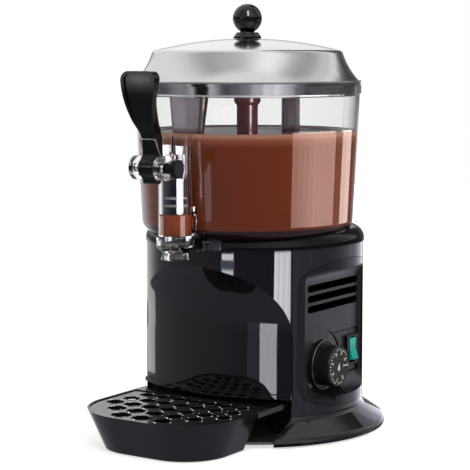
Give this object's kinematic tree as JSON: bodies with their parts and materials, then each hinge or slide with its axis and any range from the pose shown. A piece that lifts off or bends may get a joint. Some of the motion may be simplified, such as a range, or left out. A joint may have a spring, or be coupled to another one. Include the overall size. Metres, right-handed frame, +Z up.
{
  "type": "hot chocolate dispenser",
  "caption": "Countertop hot chocolate dispenser: clear heated bowl with a stirrer, lever tap, domed steel lid, round black base with cup niche, drip tray and side controls.",
  "frame": {"origin": "on the table, under the middle of the object's bounding box", "axes": "+Z up, the tap and the drip tray face -Y, the dial and the switch are on the +X side"},
  "size_m": [0.26, 0.338, 0.4148],
  "materials": {
    "black_gloss": "high gloss black, slightly blue",
    "black_satin": "satin dark grey",
    "tray_black": "semi-gloss black",
    "clear_plastic": "clear and smooth",
    "piston_clear": "clear and smooth",
    "lid_steel": "polished, spun",
    "stirrer_steel": "fine satin",
    "steel": "plain",
    "zinc_steel": "zinc plated",
    "base_steel": "matt black",
    "spring_steel": "bright wire",
    "heater_steel": "heat darkened",
    "brass": "plain",
    "cast_alloy": "as cast",
    "motor_iron": "lacquered",
    "white_plastic": "plain",
    "seal_rubber": "food grade, light grey",
    "foot_rubber": "matt black",
    "knob_black": "polished black",
    "lever_black": "semi-gloss black",
    "dial_black": "satin black with white print",
    "rocker_green": "translucent green"
  },
  "bodies": {
    "base": {"housing": "black_gloss", "control_panel": "black_satin", "vent_panel": "black_satin", "top_collar": "black_gloss", "water_pan": "steel", "pan_gasket": "seal_rubber", "heating_element": "heater_steel", "heater_nuts": "brass", "heat_cutout": "white_plastic", "motor_plate": "zinc_steel", "plate_nuts": "zinc_steel", "gearbox": "cast_alloy", "motor": "motor_iron", "shaft_bush": "brass", "thermostat_body": "white_plastic", "thermostat_nut": "zinc_steel", "switch_housing": "black_gloss", "rocker_pin": "zinc_steel", "base_plate": "base_steel", "rubber_feet": "foot_rubber", "base_screws": "zinc_steel", "cord_gland": "black_satin", "terminal_block": "white_plastic"},
    "bowl": {"bowl": "clear_plastic", "tap_body": "clear_plastic", "inlet_seal": "seal_rubber", "tap_nozzle": "clear_plastic", "nozzle_seal": "seal_rubber", "tap_pin": "lever_black"},
    "lid": {"lid_shell": "lid_steel", "lid_knob": "knob_black", "knob_collar": "knob_black", "knob_washer": "zinc_steel", "knob_screw": "zinc_steel"},
    "stirrer": {"stirrer_sleeve": "stirrer_steel", "stirrer_frame": "stirrer_steel"},
    "drive": {"drive_shaft": "steel"},
    "lever": {"tap_lever": "lever_black", "lever_spring": "spring_steel"},
    "piston": {"tap_piston": "piston_clear", "piston_rings": "seal_rubber", "valve_seal": "seal_rubber"},
    "dial": {"thermostat_dial": "dial_black", "dial_spindle": "brass"},
    "rocker": {"switch_rocker": "rocker_green"},
    "tray": {"drip_tray": "tray_black"},
    "grid": {"drip_grid": "tray_black"}
  },
  "joints": [
    {"name": "bowl_lift", "type": "slide", "parent": "base", "child": "bowl", "axis": [0, 0, 1], "range_m": [0, 0.15]},
    {"name": "lid_lift", "type": "slide", "parent": "bowl", "child": "lid", "axis": [0, 0, 1], "range_m": [0, 0.12]},
    {"name": "drive_spin", "type": "hinge", "parent": "base", "child": "drive", "pos_m": [0, 0.025, 0.2], "axis": [0, 0, 1], "continuous": true},
    {"name": "stirrer_spin", "type": "hinge", "parent": "bowl", "child": "stirrer", "pos_m": [0, 0.025, 0.26], "axis": [0, 0, 1], "continuous": true},
    {"name": "tap_lever_tilt", "type": "hinge", "parent": "bowl", "child": "lever", "pos_m": [0, -0.136, 0.264], "axis": [1, 0, 0], "range_deg": [0, 20], "stiffness_Nm_per_rad": 0.5, "springref_deg": -11.46},
    {"name": "piston_slide", "type": "slide", "parent": "bowl", "child": "piston", "axis": [0, 0, 1], "range_m": [0, 0.0132]},
    {"name": "dial_turn", "type": "hinge", "parent": "base", "child": "dial", "pos_m": [0.1, 0.0265, 0.067], "axis": [1, 0, 0], "range_deg": [-135, 135]},
    {"name": "rocker_tip", "type": "hinge", "parent": "base", "child": "rocker", "pos_m": [0.086, 0.0785, 0.0745], "axis": [0, 1, 0], "range_deg": [0, 18]},
    {"name": "tray_slide", "type": "slide", "parent": "base", "child": "tray", "axis": [0, -1, 0], "range_m": [0, 0.12]},
    {"name": "grid_lift", "type": "slide", "parent": "tray", "child": "grid", "axis": [0, 0, 1], "range_m": [0, 0.06]}
  ],
  "couplings": [
    {"joint": "drive_spin", "follows": "stirrer_spin", "ratio": 1},
    {"joint": "piston_slide", "follows": "tap_lever_tilt", "m_per_rad": 0.03772}
  ]
}
